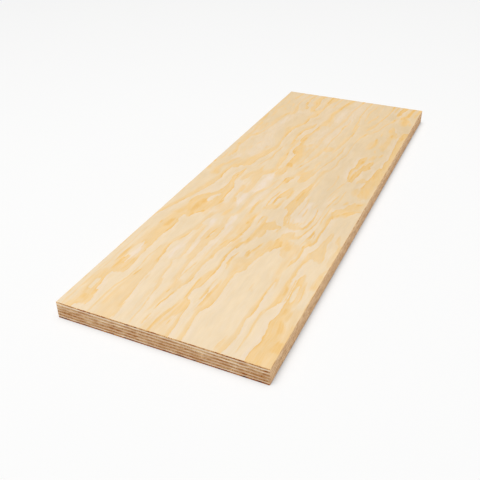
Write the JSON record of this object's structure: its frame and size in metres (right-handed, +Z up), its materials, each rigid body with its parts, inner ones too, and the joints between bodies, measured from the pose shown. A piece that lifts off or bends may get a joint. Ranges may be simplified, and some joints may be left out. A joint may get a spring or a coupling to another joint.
{
  "type": "plywood sheet",
  "caption": "Cut piece of multi-ply softwood plywood, sanded and unfinished, with rotary-cut pine faces and the cross-laminated plies open to view on its sawn edges.",
  "frame": {"origin": "centre of the underside, on the surface that the sheet lies on", "axes": "+Y along the sheet's length and face grain, +Z up through the thickness to the face veneer, X across the width"},
  "size_m": [0.21, 0.6, 0.018],
  "materials": {
    "face_veneer": "sanded bare pine, rotary cut, cream with golden latewood flames",
    "back_veneer": "sanded bare pine, rotary cut, a little coarser than the face",
    "long_ply": "sawn edge, brown end grain on the short ends, straight grain on the long edges",
    "cross_ply": "sawn edge, pale straight grain on the short ends, end grain on the long edges"
  },
  "bodies": {
    "root": {"face_veneer": "face_veneer", "cross_ply_1": "cross_ply", "long_ply_1": "long_ply", "cross_ply_2": "cross_ply", "long_ply_2": "long_ply", "cross_ply_3": "cross_ply", "long_ply_3": "long_ply", "cross_ply_4": "cross_ply", "long_ply_4": "long_ply", "cross_ply_5": "cross_ply", "back_veneer": "back_veneer"}
  },
  "joints": []
}
